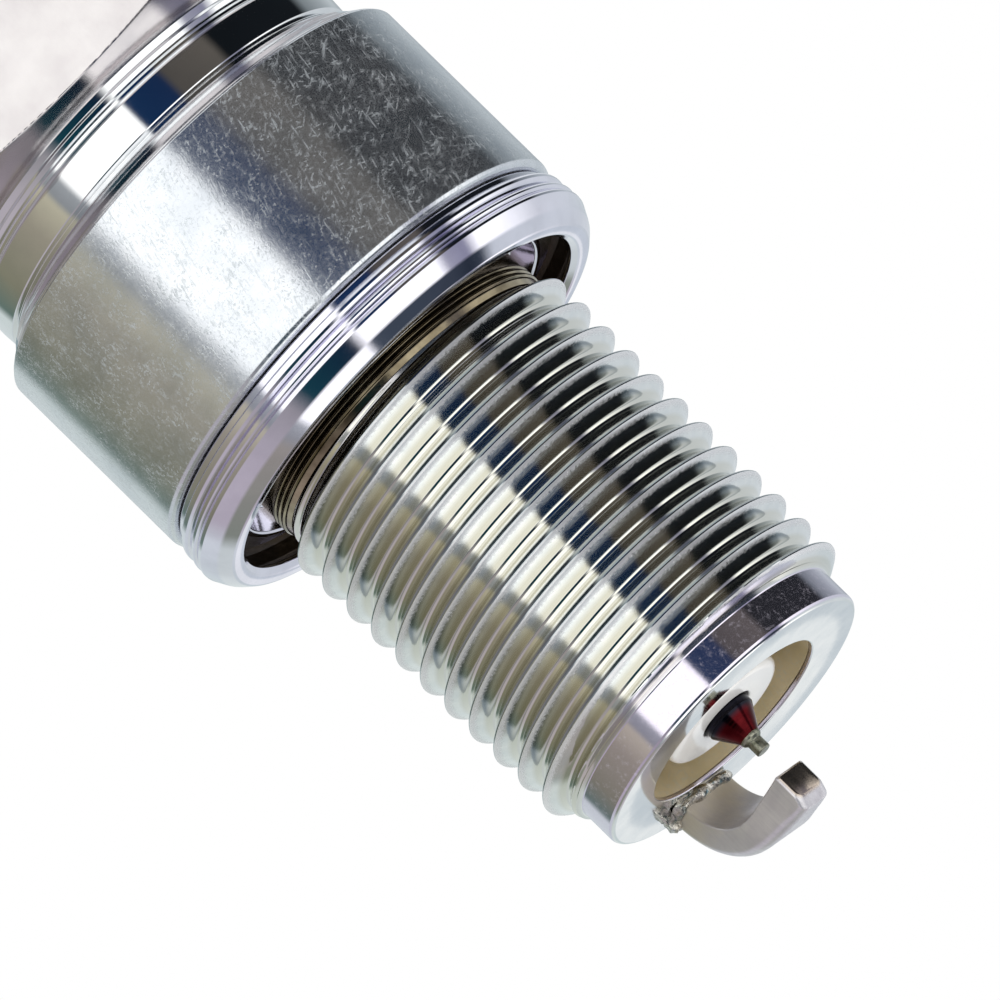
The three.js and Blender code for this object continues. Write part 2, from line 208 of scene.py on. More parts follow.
def joined(*parts):
    """Several (vertices, faces) pairs as one."""
    vertices = []
    faces = []
    for more_vertices, more_faces in parts:
        start = len(vertices)
        vertices.extend(map(tuple, more_vertices))
        faces.extend([start + v for v in face] for face in more_faces)
    return vertices, faces


# ---- Node helpers -----------------------------------------------------------------------------------

class Graph:
    """Short calls for building one node tree."""

    def __init__(self, tree):
        self.tree = tree
        tree.nodes.clear()

    def node(self, kind, inputs=None, **settings):
        """A shader node, each input of which is a number, a colour or another node's output."""
        node = self.tree.nodes.new("ShaderNode" + kind)
        for key, value in settings.items():
            setattr(node, key, value)
        for key, value in (inputs or {}).items():
            if isinstance(value, bpy.types.NodeSocket):
                self.tree.links.new(value, node.inputs[key])
            else:
                node.inputs[key].default_value = value
        return node

    def math(self, operation, a, b=0.0, c=0.0):
        return self.node("Math", {0: a, 1: b, 2: c}, operation=operation).outputs[0]

    def product(self, a, b):
        return self.math("MULTIPLY", a, b)

    def ramp(self, factor, stops):
        """A colour ramp whose stops are (position, colour)."""
        node = self.node("ValToRGB", {"Fac": factor})
        elements = node.color_ramp.elements
        while len(elements) < len(stops):
            elements.new(0.5)
        for element, (position, colour) in zip(elements, stops):
            element.position = position
            element.color = (*colour, 1.0)
        return node.outputs["Color"]

    def mix(self, factor, a, b):
        """Colour a where factor is 0, and b where it is 1."""
        inputs = {0: factor}
        for index, value in ((6, a), (7, b)):
            inputs[index] = (*value, 1.0) if isinstance(value, tuple) else value
        return self.node("Mix", inputs, data_type="RGBA").outputs[2]

    def span(self, value, low, high, out_low=0.0, out_high=1.0):
        """The value mapped from low..high to out_low..out_high, and held at both ends."""
        inputs = {"Value": value, "From Min": low, "From Max": high,
                  "To Min": out_low, "To Max": out_high}
        return self.node("MapRange", inputs, clamp=True).outputs[0]

    def part(self, vector, axis):
        return self.node("SeparateXYZ", {"Vector": vector}).outputs[axis]

    def slope(self):
        """Z of the surface's normal: 1 on a face turned to the terminal, -1 to the firing end."""
        return self.part(self.node("TexCoord").outputs["Normal"], "Z")

    def place(self, stretch=(1.0, 1.0, 1.0)):
        """Object coordinates in millimetres, stretched."""
        coordinates = self.node("TexCoord").outputs["Object"]
        scale = tuple(s / MM for s in stretch)
        return self.node("Mapping", {"Vector": coordinates, "Scale": scale}).outputs[0]

    def noise(self, vector, scale, detail=3.0, roughness=0.55, distortion=0.0):
        inputs = {"Vector": vector, "Scale": scale, "Detail": detail, "Roughness": roughness,
                  "Distortion": distortion}
        return self.node("TexNoise", inputs).outputs["Fac"]

    def bump(self, height, strength, distance, normal=None):
        inputs = {"Height": height, "Strength": strength, "Distance": distance * MM}
        if normal is not None:
            inputs["Normal"] = normal
        return self.node("Bump", inputs).outputs[0]


def srgb(red, green, blue):
    """A colour as seen, 0 to 255, in linear light."""
    def linear(value):
        share = value / 255
        return share / 12.92 if share <= 0.04045 else ((share + 0.055) / 1.055) ** 2.4
    return (linear(red), linear(green), linear(blue))


def new_material(name):
    material = bpy.data.materials.new(name)
    material.use_nodes = True
    return material, Graph(material.node_tree)


def finish_material(graph, colour, roughness, normal=None, **more):
    """The surface shader. Names in more are its other inputs, with _ for a space."""
    inputs = {"Base Color": colour, "Roughness": roughness}
    inputs.update({name.replace("_", " "): value for name, value in more.items()})
    if normal is not None:
        inputs["Normal"] = normal
    shader = graph.node("BsdfPrincipled", inputs)
    graph.node("OutputMaterial", {"Surface": shader.outputs[0]})


# ---- Materials --------------------------------------------------------------------------------------

def scratches(graph, length, threshold):
    """Short fine scratches in three directions."""
    coordinates = graph.node("TexCoord").outputs["Object"]
    total = None
    for turn in ((0.3, 0.2, 0.5), (1.5, 0.9, 2.1), (2.6, 1.9, 0.9)):
        stretch = (1 / MM, 1 / (length * MM), 1 / MM)
        turned = graph.node("Mapping", {"Vector": coordinates, "Rotation": turn}).outputs[0]
        stretched = graph.node("Mapping", {"Vector": turned, "Scale": stretch}).outputs[0]
        fibre = graph.span(graph.noise(stretched, 9.0, 1.5, 0.5, 0.3), threshold, threshold + 0.14)
        total = fibre if total is None else graph.math("MAXIMUM", total, fibre)
    return total


def plated_steel(name, light, dark, gloss, grain, lines, frost=0.0, metallic=1.0):
    """Bright plating with fine grain and turning lines round the axis.

    gloss is its lowest and highest roughness. frost is how much of it is scratched and frosty.
    """
    material, graph = new_material(name)
    place = graph.place()
    cloud = graph.noise(place, 0.5, 4.0)
    fine = graph.noise(place, 9.0, 5.0, 0.6)
    turned = graph.noise(graph.place((0.15, 0.15, 14.0)), 1.0, 3.0)
    tone = graph.mix(graph.span(cloud, 0.35, 0.65), dark, light)
    low, high = gloss
    rough = graph.span(graph.math("MULTIPLY_ADD", cloud, 0.5, fine), 0.45, 1.05, low, high)
    normal = graph.bump(fine, grain, 0.004)
    normal = graph.bump(turned, lines, 0.004, normal)
    if frost:
        patches = graph.span(graph.noise(place, 1.1, 5.0, 0.7), 0.38, 0.62, 0.1, 1.0)
        fibres = graph.product(scratches(graph, 7.0, 0.57), patches)
        fibres = graph.math("MULTIPLY_ADD", patches, 0.08, fibres)
        frosted = graph.product(fibres, frost)
        tone = graph.mix(frosted, tone, srgb(184, 192, 196))
        rough = graph.math("MULTIPLY_ADD", frosted, 0.15, rough)
        metallic = graph.math("MULTIPLY_ADD", frosted, -0.6, metallic)
        normal = graph.bump(fibres, 0.3, 0.005, normal)
    finish_material(graph, tone, rough, normal, Metallic=metallic)
    return material


def thread_plating():
    """Bright plating on the rolled thread and the nose.

    The roots are painted slightly darker and warmer, as painted shade in the recesses. The crests are
    dull below, and their upper flanks are painted dark teal as painted reflection and shade. The nose is
    tinted and has faint specks.
    """
    material, graph = new_material("thread_plating")
    place = graph.place()
    x, y, height = graph.node("SeparateXYZ", {"Vector": place}).outputs
    radius = graph.math("SQRT", graph.math("ADD", graph.product(x, x), graph.product(y, y)))
    slope = graph.slope()
    bottom = THREAD["bottom"]
    wobble = graph.noise(place, 1.2, 4.0)
    fine = graph.noise(place, 9.0, 5.0, 0.6)
    turned = graph.noise(graph.place((0.15, 0.15, 14.0)), 1.0, 3.0)

    # edge and dark pick out the upper flanks near the crests, which are painted dark teal as painted
    # reflection and shade.
    edge = graph.span(graph.math("MULTIPLY_ADD", wobble, 0.1, radius), 6.55, 6.75)
    dark = graph.product(edge, graph.span(slope, -0.3, 0.1))
    worn = graph.span(graph.math("MULTIPLY_ADD", fine, 0.3, radius), 6.77, 6.92)
    dull = graph.product(worn, graph.span(slope, -0.1, -0.5))
    # Painted shade: the thread roots, above the bottom end, are made darker and warmer.
    root_shade = graph.product(graph.span(radius, 6.5, 6.35), graph.span(height, bottom - 0.1, bottom))
    nose = graph.product(graph.span(height, bottom, bottom - 0.1), graph.span(slope, -0.8, -0.5))
    specks = graph.span(graph.noise(place, 5.0, 5.0, 0.7), 0.54, 0.66, 0.03, 0.2)

    tone = graph.mix(graph.span(wobble, 0.35, 0.65), srgb(228, 231, 232), srgb(240, 241, 240))
    # Painted reflection and shade: the upper crest flanks are mixed towards dark teal.
    tone = graph.mix(graph.product(dark, 0.8), tone, srgb(84, 104, 116))
    tone = graph.mix(graph.product(dull, 0.5), tone, srgb(214, 212, 218))
    # Painted shade in the thread roots.
    tone = graph.mix(root_shade, tone, srgb(221, 220, 212))
    tone = graph.mix(nose, tone, srgb(222, 216, 232))
    rough = graph.math("MULTIPLY_ADD", dull, 0.16, graph.span(fine, 0.3, 0.7, 0.06, 0.12))
    normal = graph.bump(turned, 0.15, 0.004, graph.bump(fine, 0.12, 0.004))
    dulled = graph.math("MULTIPLY_ADD", dull, 0.45, graph.product(nose, specks))
    finish_material(graph, tone, rough, normal, Metallic=graph.math("SUBTRACT", 1.0, dulled))
    return material


def hexagon_plating():
    """Satin drawn flats between bright turned chamfers."""
    material, graph = new_material("hexagon_plating")
    place = graph.place()
    cloud = graph.noise(place, 0.5, 4.0)
    fine = graph.noise(place, 9.0, 5.0, 0.6)
    drawn = graph.noise(graph.place((5.0, 5.0, 0.3)), 1.0, 4.0)
    satin = graph.span(graph.math("ABSOLUTE", graph.slope()), 0.12, 0.04)
    patches = graph.span(cloud, 0.35, 0.65)
    turned_tone = graph.mix(patches, srgb(200, 195, 196), srgb(212, 206, 207))
    drawn_tone = graph.mix(patches, srgb(215, 210, 211), srgb(228, 224, 224))
    tone = graph.mix(satin, turned_tone, drawn_tone)
    rough = graph.math("MULTIPLY_ADD", satin, 0.08, graph.span(fine, 0.3, 0.7, 0.08, 0.14))
    normal = graph.bump(drawn, graph.product(satin, 0.3), 0.006, graph.bump(fine, 0.5, 0.004))
    finish_material(graph, tone, rough, normal, Metallic=graph.math("MULTIPLY_ADD", satin, -0.55, 1.0))
    return material


def strap_nickel():
    """Satin drawn nickel alloy: fine streaks, straw-coloured towards the weld, glossy at the shear-cut
    tip, where a darker brown tone is also painted in as a painted reflection.
    """
    material, graph = new_material("strap_nickel")
    place = graph.place()
    height = graph.part(place, "Z")
    cloud = graph.noise(place, 1.4, 4.0)
    streaks = graph.noise(graph.place((7.0, 7.0, 0.6)), 1.0, 4.0)
    heat = graph.span(graph.math("MULTIPLY_ADD", cloud, 1.2, height), -20.6, -19.0)
    turn = math.radians(STRAP["azimuth"])
    across = {0: place, 1: (math.cos(turn), math.sin(turn), 0.0)}
    outwards = graph.node("VectorMath", across, operation="DOT_PRODUCT").outputs["Value"]
    # The shear-cut tip is glossier for real, and it is also painted darker brown as a painted reflection.
    shear_cut_painted_brown = graph.span(outwards, 0.08 - STRAP["tip_reach"], 0.01 - STRAP["tip_reach"])
    tone = graph.mix(graph.span(cloud, 0.3, 0.7), srgb(204, 201, 208), srgb(220, 218, 222))
    tone = graph.mix(graph.span(streaks, 0.35, 0.7, 0.0, 0.35), tone, srgb(184, 182, 188))
    tone = graph.mix(graph.product(heat, 0.55), tone, srgb(206, 194, 162))
    # Painted reflection: darker brown at the strap's tip.
    tone = graph.mix(graph.product(shear_cut_painted_brown, 0.8), tone, srgb(176, 160, 142))
    rough = graph.math("MULTIPLY_ADD", shear_cut_painted_brown, -0.2, graph.span(streaks, 0.3, 0.7, 0.28, 0.42))
    normal = graph.bump(graph.noise(place, 14.0, 4.0), 0.3, 0.006, graph.bump(streaks, 0.35, 0.01))
    finish_material(graph, tone, rough, normal, Metallic=graph.math("MULTIPLY_ADD", shear_cut_painted_brown, 0.26, 0.7))
    return material


def weld_metal():
    """Rough weld: lumps of bright and oxidised metal."""
    material, graph = new_material("weld_metal")
    place = graph.place()
    lumps = graph.noise(place, 2.4, 4.0, 0.6)
    grit = graph.noise(place, 7.0, 3.0, 0.55)
    tone = graph.ramp(lumps, [(0.3, srgb(96, 112, 116)), (0.45, srgb(170, 166, 158)),
                              (0.56, srgb(226, 222, 214)), (0.68, srgb(120, 142, 148))])
    rough = graph.span(grit, 0.3, 0.7, 0.1, 0.4)
    normal = graph.bump(grit, 0.5, 0.03, graph.bump(lumps, 0.7, 0.1))
    finish_material(graph, tone, rough, normal, Metallic=1.0)
    return material


def electrode_nickel():
    """The centre electrode's cone: turned and tinted dark red, with a near-black band at the top, next to
    the insulator, that is painted shade and painted dark reflection.
    """
    material, graph = new_material("electrode_nickel")
    place = graph.place()
    cloud = graph.noise(place, 1.6, 4.0)
    turned = graph.noise(graph.place((0.5, 0.5, 16.0)), 1.0, 3.0)
    tone = graph.mix(graph.span(cloud, 0.35, 0.65), srgb(62, 8, 14), srgb(92, 24, 28))
    # Painted shade and reflection: near-black above z -19.1 to -18.9, next to the insulator's nose.
    tone = graph.mix(graph.span(graph.part(place, "Z"), -19.1, -18.9), tone, srgb(34, 34, 42))
    rough = graph.span(turned, 0.3, 0.7, 0.1, 0.2)
    finish_material(graph, tone, rough, graph.bump(turned, 0.5, 0.006), Metallic=1.0)
    return material


def wire_metal():
    """The fine wire: satin precious metal with a laser-weld bead."""
    material, graph = new_material("wire_metal")
    place = graph.place()
    cloud = graph.noise(place, 3.0, 4.0)
    tone = graph.mix(graph.span(cloud, 0.35, 0.65), srgb(92, 94, 80), srgb(172, 172, 156))
    rough = graph.span(cloud, 0.3, 0.7, 0.2, 0.38)
    normal = graph.bump(graph.noise(place, 12.0, 3.0), 0.5, 0.008)
    finish_material(graph, tone, rough, normal, Metallic=1.0)
    return material


def alumina(name, roughness, coat):
    """White ceramic with faint grain and soft clouds of tone under a thin glaze."""
    material, graph = new_material(name)
    place = graph.place()
    cloud = graph.noise(place, 0.35, 4.0)
    grain = graph.noise(place, 8.0, 5.0)
    tone = graph.mix(graph.span(cloud, 0.3, 0.7), srgb(240, 238, 235), srgb(249, 248, 246))
    rough = graph.span(grain, 0.3, 0.7, roughness * 0.8, roughness * 1.2)
    finish_material(graph, tone, rough, graph.bump(grain, 0.25, 0.006), Coat_Weight=coat,
                    Coat_Roughness=0.06, Specular_IOR_Level=0.5)
    return material


def powder(name, dark, light, scale, roughness, metallic=0.0):
    """A grainy sealed-in piece: sintered glass, pressed powder, plain steel or copper."""
    material, graph = new_material(name)
    place = graph.place()
    grain = graph.noise(place, scale, 5.0, 0.65)
    tone = graph.mix(graph.span(grain, 0.35, 0.65), dark, light)
    rough = graph.span(grain, 0.3, 0.7, roughness * 0.85, min(1.0, roughness * 1.15))
    finish_material(graph, tone, rough, graph.bump(grain, 0.5, 0.03), Metallic=metallic)
    return material


# ---- Camera, light and floor ------------------------------------------------------------------------

def make_camera():
    """A long lens that looks up at the firing end, turned so that the plug lies across the picture."""
    rise = math.radians(RISE)
    lean = math.radians(LEAN)
    ahead = Vector((0, math.cos(rise), math.sin(rise)))
    axis_down = Vector((0, math.sin(rise), -math.cos(rise)))
    right = axis_down * math.cos(lean) + Vector((1, 0, 0)) * math.sin(lean)
    up = right.cross(ahead)
    data = bpy.data.cameras.new("camera")
    data.sensor_width = 36.0
    data.lens = data.sensor_width * CAMERA_DISTANCE / PICTURE_WIDTH
    camera = bpy.data.objects.new("camera", data)
    turn = Matrix((right, up, -ahead)).transposed().to_4x4()
    camera.matrix_world = Matrix.Translation(CAMERA_TARGET - ahead * CAMERA_DISTANCE) @ turn
    bpy.context.scene.collection.objects.link(camera)
    bpy.context.scene.camera = camera


def studio_rings():
    """Rings of panels, lowest tilt first: (tilt where it starts, blur, stops), in degrees.

    Each stop is (bearing, colour). Bearing 0 is the side of the plug that faces the camera, and tilt is
    how far a face looks up towards the terminal.
    """
    white = (1.5, 1.5, 1.47)
    end_on = [
        (-90, srgb(236, 240, 242)), (-20, srgb(248, 250, 250)), (15, srgb(216, 223, 228)),
        (60, srgb(198, 206, 214)), (90, srgb(206, 214, 220)),
    ]
    low = [
        (-90, srgb(206, 216, 218)), (-64, srgb(214, 220, 222)), (-56, srgb(194, 186, 194)),
        (-34, srgb(188, 180, 188)), (-19, srgb(160, 156, 160)), (-14, srgb(24, 66, 78)),
        (0.5, srgb(14, 34, 56)), (3.5, white), (26, white), (29, srgb(164, 164, 180)),
        (35, srgb(140, 140, 162)), (39, white), (62, srgb(222, 226, 230)), (90, srgb(204, 212, 216)),
    ]
    down = [
        (-90, srgb(222, 230, 228)), (-66, srgb(206, 214, 210)), (-60, srgb(140, 146, 134)),
        (-28, srgb(160, 154, 146)), (-25, srgb(150, 152, 156)), (-21, srgb(170, 174, 178)), (-19, white),
        (2, white), (4, srgb(70, 80, 92)), (28, srgb(60, 68, 80)), (34, srgb(40, 48, 60)),
        (38, srgb(60, 68, 80)), (42, srgb(214, 220, 224)), (90, srgb(214, 220, 224)),
    ]
    level = [
        (-90, srgb(150, 168, 176)), (-86, srgb(214, 222, 224)), (-71, srgb(216, 226, 224)),
        (-67, srgb(104, 124, 116)), (-55, srgb(134, 133, 114)), (-36, srgb(158, 152, 136)),
        (-27, srgb(194, 188, 166)), (-25.5, srgb(146, 150, 154)), (-21.5, srgb(164, 168, 172)),
        (-20, white), (2.5, white), (3.6, srgb(20, 48, 84)), (14, srgb(26, 46, 80)),
        (16, srgb(84, 80, 76)), (29, srgb(98, 93, 87)), (31.5, srgb(20, 24, 28)), (60, srgb(24, 28, 32)),
        (64, srgb(130, 138, 142)), (80, srgb(196, 204, 208)), (90, srgb(150, 158, 164)),
    ]
    raised = [
        (-90, srgb(184, 196, 200)), (-71, srgb(216, 226, 224)), (-67, srgb(108, 126, 118)),
        (-55, srgb(138, 136, 114)), (-36, srgb(160, 154, 138)), (-27, srgb(194, 188, 166)),
        (-25.5, srgb(146, 150, 154)), (-21.5, srgb(164, 168, 172)), (-20, white), (3, white),
        (5, srgb(150, 160, 170)), (7, srgb(236, 240, 242)), (27, srgb(236, 240, 242)),
        (29, srgb(30, 36, 48)), (38, srgb(30, 36, 48)), (41, srgb(240, 244, 246)),
        (64, srgb(236, 240, 242)), (90, srgb(200, 208, 212)),
    ]
    high = [
        (-90, srgb(190, 204, 208)), (-60, srgb(112, 132, 140)), (-30, srgb(150, 158, 158)), (-22, white),
        (4, white), (8, srgb(90, 98, 104)), (24, srgb(60, 66, 72)), (27, white), (46, white),
        (50, srgb(80, 88, 92)), (70, srgb(190, 200, 206)), (90, srgb(190, 200, 206)),
    ]
    return ((-90, 1, end_on), (-84, 5, low), (-62, 6, down), (-38, 6, low), (-13, 4, level),
            (11.5, 3, raised), (36, 6, high))


def make_world():
    """A white studio whose panels are laid out by the bearing and tilt of the face that mirrors them.

    For a mirror direction (x, y, z), half way back to the camera is (x, y - cos rise, z - sin rise),
    the normal of the face that mirrors it. The camera itself and diffuse light see plain white.
    """
    world = bpy.data.worlds.new("studio")
    bpy.context.scene.world = world
    world.use_nodes = True
    graph = Graph(world.node_tree)
    direction = graph.node("TexCoord").outputs["Generated"]
    x, y, z = graph.node("SeparateXYZ", {"Vector": direction}).outputs
    rise = math.radians(RISE)
    ahead = graph.math("SUBTRACT", math.cos(rise), y)
    upward = graph.math("SUBTRACT", z, math.sin(rise))
    across = graph.math("SQRT", graph.math("ADD", graph.product(x, x), graph.product(ahead, ahead)))
    bearing = graph.math("ARCTAN2", x, ahead)
    tilt = graph.math("ARCTAN2", upward, across)
    place = graph.math("MULTIPLY_ADD", bearing, 1 / math.pi, 0.5)

    colour = None
    for start, blur, stops in studio_rings():
        ring = graph.ramp(place, [((angle + 90) / 180, shade) for angle, shade in stops])
        share = graph.span(tilt, math.radians(start), math.radians(start + blur))
        colour = ring if colour is None else graph.mix(share, colour, ring)
    mirrored = graph.node("Background", {"Color": colour, "Strength": 1.0}).outputs[0]
    plain = graph.node("Background", {"Color": (1.0, 1.0, 1.0, 1.0), "Strength": 1.0}).outputs[0]
    ray = graph.node("LightPath").outputs
    shown_plain = graph.math("MAXIMUM", ray["Is Camera Ray"], ray["Is Diffuse Ray"])
    mixed = graph.node("MixShader", {0: shown_plain, 1: mirrored, 2: plain}).outputs[0]
    graph.node("OutputWorld", {"Surface": mixed})


def make_floor():
    """A pale floor far below the plug, which hangs level with the camera's path."""
    mesh = bpy.data.meshes.new("floor")
    size = 4.0
    height = -0.6
    corners = [(x * size, y * size, height) for x, y in ((-1, -1), (1, -1), (1, 1), (-1, 1))]
    mesh.from_pydata(corners, [], [(0, 1, 2, 3)])
    material, graph = new_material("floor_white")
    grain = graph.noise(graph.node("TexCoord").outputs["Object"], 40.0, 4.0)
    tone = graph.mix(grain, (0.9, 0.9, 0.9), (0.96, 0.96, 0.96))
    finish_material(graph, tone, graph.span(grain, 0.0, 1.0, 0.7, 0.9))
    mesh.materials.append(material)
    floor = bpy.data.objects.new("floor", mesh)
    bpy.context.scene.collection.objects.link(floor)
    floor.visible_glossy = False
    floor.visible_diffuse = False
    floor.visible_shadow = False


# ---- Shell ------------------------------------------------------------------------------------------

def make_shank(material, bore_reflection_material):
    """Rolled thread, nose and end face, and the bore as a sleeve of its own, whose tan tone is a painted
    reflection.
    """
    root, top, bottom = THREAD["root"], THREAD["top"], THREAD["bottom"]
    block = thread_block(THREAD["major"], root, THREAD["pitch"], top, bottom, THREAD["phase"],
                         sides=SHANK_SIDES, rows_per_turn=32, fades=(0.5, 0.22))
    lined = BORE_RADIUS + 0.2
    tail = fillet([(root, top), (root - 0.1, top + 0.1), (5.0, top + 0.1), (5.0, -5.9), (lined, -6.9),
                   (lined, -18.7), (BORE_RADIUS, -18.8), (BORE_RADIUS, -REACH + 0.05, 0.06),
                   (NOSE_RADIUS, -REACH, 0.2), (NOSE_RADIUS, bottom - 0.08, 0.1),
                   (root + 0.05, bottom + 0.02), (root + 0.05, bottom + 0.08), (root, bottom + 0.08),
                   (root, bottom)], closed=False)
    tube = lathe(tail, SHANK_SIDES, closed=False)
    vertices, faces = joined(block, tube)
    add_piece("shell_shank", vertices, faces, "plug", material, ["shell"])

    # A tan sleeve inside the bore: painted reflection.
    outside = BORE_RADIUS + 0.18
    sleeve = [(outside, -7.0), (outside, -18.75), (BORE_RADIUS, -18.75), (BORE_RADIUS, -7.0)]
    vertices, faces = lathe(sleeve, SIDES)
    add_piece("shell_bore", vertices, faces, "plug", bore_reflection_material)


def make_neck(material):
    """The ridged relief between the thread and the seat, half hidden by the gasket. Its dark brown look
    is painted shade.
    """
    end = THREAD["top"]
    crest = RELIEF_RADIUS + 0.07
    ridges = []
    for z in (end + 0.3, end + 0.52, end + 0.74):
        ridges += [(RELIEF_RADIUS, z - 0.08), (crest, z - 0.03, 0.03), (crest, z + 0.03, 0.03),
                   (RELIEF_RADIUS, z + 0.08)]
    profile = fillet([(5.0, end - 0.05), (THREAD["root"], end - 0.05), (RELIEF_RADIUS, end + 0.15, 0.2),
                      *ridges, (RELIEF_RADIUS, 0.3), (5.0, 0.3)])
    vertices, faces = lathe(profile, SHANK_SIDES)
    add_piece("shell_neck", vertices, faces, "plug", material)


def make_barrel(material):
    """Seat flange up to the edge of its shoulder."""
    profile = fillet([(HIDDEN_RADIUS, 0.0), (FLANGE_RADIUS, 0.0, 0.3), (FLANGE_RADIUS, 8.12, 0.1),
                      (9.3, 8.21, 0.05), (9.1, 8.25), (HIDDEN_RADIUS, 8.25)])
    vertices, faces = lathe(profile, SIDES)
    add_piece("shell_barrel", vertices, faces, "plug", material)


def make_band(material):
    """Glossy shoulder and groove band up to the hexagon, with a fine groove at each side of the band."""
    profile = fillet([
        (HIDDEN_RADIUS, 8.1), (9.2, 8.1), (9.3, 8.19, 0.05), (9.26, 8.26, 0.04), (8.8, 8.62, 0.3),
        (8.52, 8.94, 0.1), (8.3, 9.0, 0.06), (8.22, 9.12, 0.04), (8.16, 9.2, 0.04), (8.3, 9.34, 0.1),
        (8.34, 10.0, 2.0), (8.3, 10.66, 0.12), (8.17, 10.8, 0.05), (8.17, 10.94, 0.04),
        (8.36, 11.02, 0.05), (8.4, 11.18, 0.06), (8.52, 11.26, 0.05), (8.58, 11.42, 0.05), (8.64, 11.55),
        (HIDDEN_RADIUS, 11.6),
    ])
    vertices, faces = lathe(profile, SIDES)
    add_piece("shell_band", vertices, faces, "plug", material)


def soft_minimum(values, softness):
    """The smallest of several arrays, rounded where two of them are nearly equal."""
    low = np.min(values, axis=0)
    spread = sum(np.exp(-(v - low) / softness) for v in values)
    return low - softness * np.log(spread)


def make_hexagon(material):
    """Hexagon with chamfer cones at both ends, its edges slightly rounded."""
    sides = 720
    inner = 7.6
    apothem = HEXAGON["flats"] / 2
    bottom, top = HEXAGON["bottom"], HEXAGON["top"]
    low_slope = math.tan(math.radians(HEXAGON["low_chamfer"]))
    top_slope = math.tan(math.radians(HEXAGON["top_chamfer"]))
    near = np.linspace(0, 1.4, 60)
    middle = np.linspace(bottom + 1.2, top - 1.6, 12)
    heights = np.concatenate([bottom + near * 0.7, middle, top - near[::-1]])
    angles = np.linspace(0, 2 * math.pi, sides, endpoint=False)
    flats = [apothem / np.maximum(np.cos(angles - math.radians(30 + 60 * k)), 0.3) for k in range(6)]
    flat_radius = soft_minimum(flats, 0.05)
    rings = []
    for z in heights:
        cone_low = np.full(sides, HEXAGON["low_face"] + (z - bottom) / low_slope)
        cone_high = np.full(sides, HEXAGON["top_face"] + (top - z) / top_slope)
        rings.append((soft_minimum([flat_radius, cone_low, cone_high], 0.04), z))
    rings += [(np.full(sides, inner), top), (np.full(sides, inner), bottom)]
    vertices = []
    rows = []
    for radius, z in rings:
        rows.append(list(range(len(vertices), len(vertices) + sides)))
        vertices.extend(zip(radius * np.cos(angles), radius * np.sin(angles), np.full(sides, z)))
    rows.append(rows[0])
    add_piece("shell_hexagon", vertices, skin(rows), "plug", material, sharp=25.0)


def make_crimp(material):
    """The rolled edge over the insulator's shoulder."""
    profile = fillet([(7.3, 19.7), (8.3, 19.7), (8.3, 22.5, 1.3), (6.4, 22.55, 0.5), (5.72, 22.2, 0.12),
                      (5.75, 21.75, 0.1), (7.3, 21.6, 0.3)])
    vertices, faces = lathe(profile, SIDES)
    add_piece("shell_crimp", vertices, faces, "plug", material)


# ---- Gasket -----------------------------------------------------------------------------------------

def make_gasket(material, fold_shade_material):
    """Folded sheet ring: three beads outside, a roll that is open to the shank, an inner collar, and a
    dark lining in the roll that is painted shade.
    """
    profile = fillet([(8.3, -0.05), (9.1, -0.05, 0.1), (9.1, -0.32)], closed=False)
    profile += arc(9.11, -0.6, 0.27, 80, -80, 14)
    profile += arc(9.27, -1.11, 0.16, 75, -75, 10)
    profile += arc(9.29, -1.47, 0.16, 70, -12, 8)
    profile += fillet([(9.44, -1.56), (9.15, -2.12, 0.8), (8.75, -2.5, 0.25), (8.25, -2.5, 0.2),
                       (7.98, -2.3, 0.1), (8.1, -2.2, 0.1), (8.6, -2.2, 0.4), (8.9, -1.75, 0.4),
                       (8.9, -1.2, 0.4), (8.3, -1.1)], closed=False)
    vertices, faces = lathe(profile, SIDES)
    add_piece("gasket_ring", vertices, faces, "gasket", material, ["gasket"],
              sharp=50.0)

    # A dark sheet inside the roll that stands for the shade in the fold: painted shade.
    lining = fillet([(7.4, -0.06), (8.4, -0.06), (8.84, -0.5, 0.2), (8.86, -1.8, 0.3),
                     (8.54, -2.14, 0.2), (8.2, -2.14, 0.05), (8.2, -2.04, 0.05), (8.5, -2.0, 0.2),
                     (8.7, -1.7, 0.2), (8.66, -0.8, 0.3), (8.3, -0.55, 0.2), (7.4, -0.5)])
    vertices, faces = lathe(lining, SIDES)
    add_piece("gasket_fold_shade", vertices, faces, "gasket", fold_shade_material, sharp=50.0)

    collar = fillet([(6.62, -0.05, 0.05), (7.5, -0.05), (7.5, -0.4, 0.15), (7.38, -1.45, 0.1),
                     (7.1, -1.5, 0.1), (6.8, -0.5, 0.2), (6.62, -0.42, 0.05)])
    vertices, faces = lathe(collar, SIDES)
    add_piece("gasket_collar", vertices, faces, "gasket", material, sharp=50.0)


# ---- Insulator --------------------------------------------------------------------------------------

def make_insulator(glazed):
    """White body with five ribs above the shell, a shoulder in the crimp and a nose in the bore."""
    ribs = []
    for k in range(4, -1, -1):
        high = 39.3 - 2.6 * k
        ribs += [(4.6, high - 1.85, 0.25), (5.25, high - 1.45, 0.3), (5.25, high - 0.4, 0.3),
                 (4.6, high, 0.25)]
    profile = fillet([
        (1.1, -18.6, 0.08), (2.55, -18.6, 0.35), (3.25, -6.9, 0.5), (4.45, -5.7, 0.3), (4.45, 10.0, 0.5),
        (7.1, 12.7, 0.5), (7.1, 16.1, 0.5), (6.6, 17.0, 0.4), (5.25, 17.6, 0.5), (5.25, 26.75, 0.3),
        *ribs, (4.5, 39.7, 0.2), (4.4, 41.4, 0.2), (4.1, 41.7, 0.15), (2.1, 41.7, 0.1), (2.1, -2.7),
        (1.1, -3.6),
    ])
    vertices, faces = lathe(profile, SIDES)
    add_piece("insulator_body", vertices, faces, "plug", glazed, ["insulator"])


# ---- Electrodes -------------------------------------------------------------------------------------

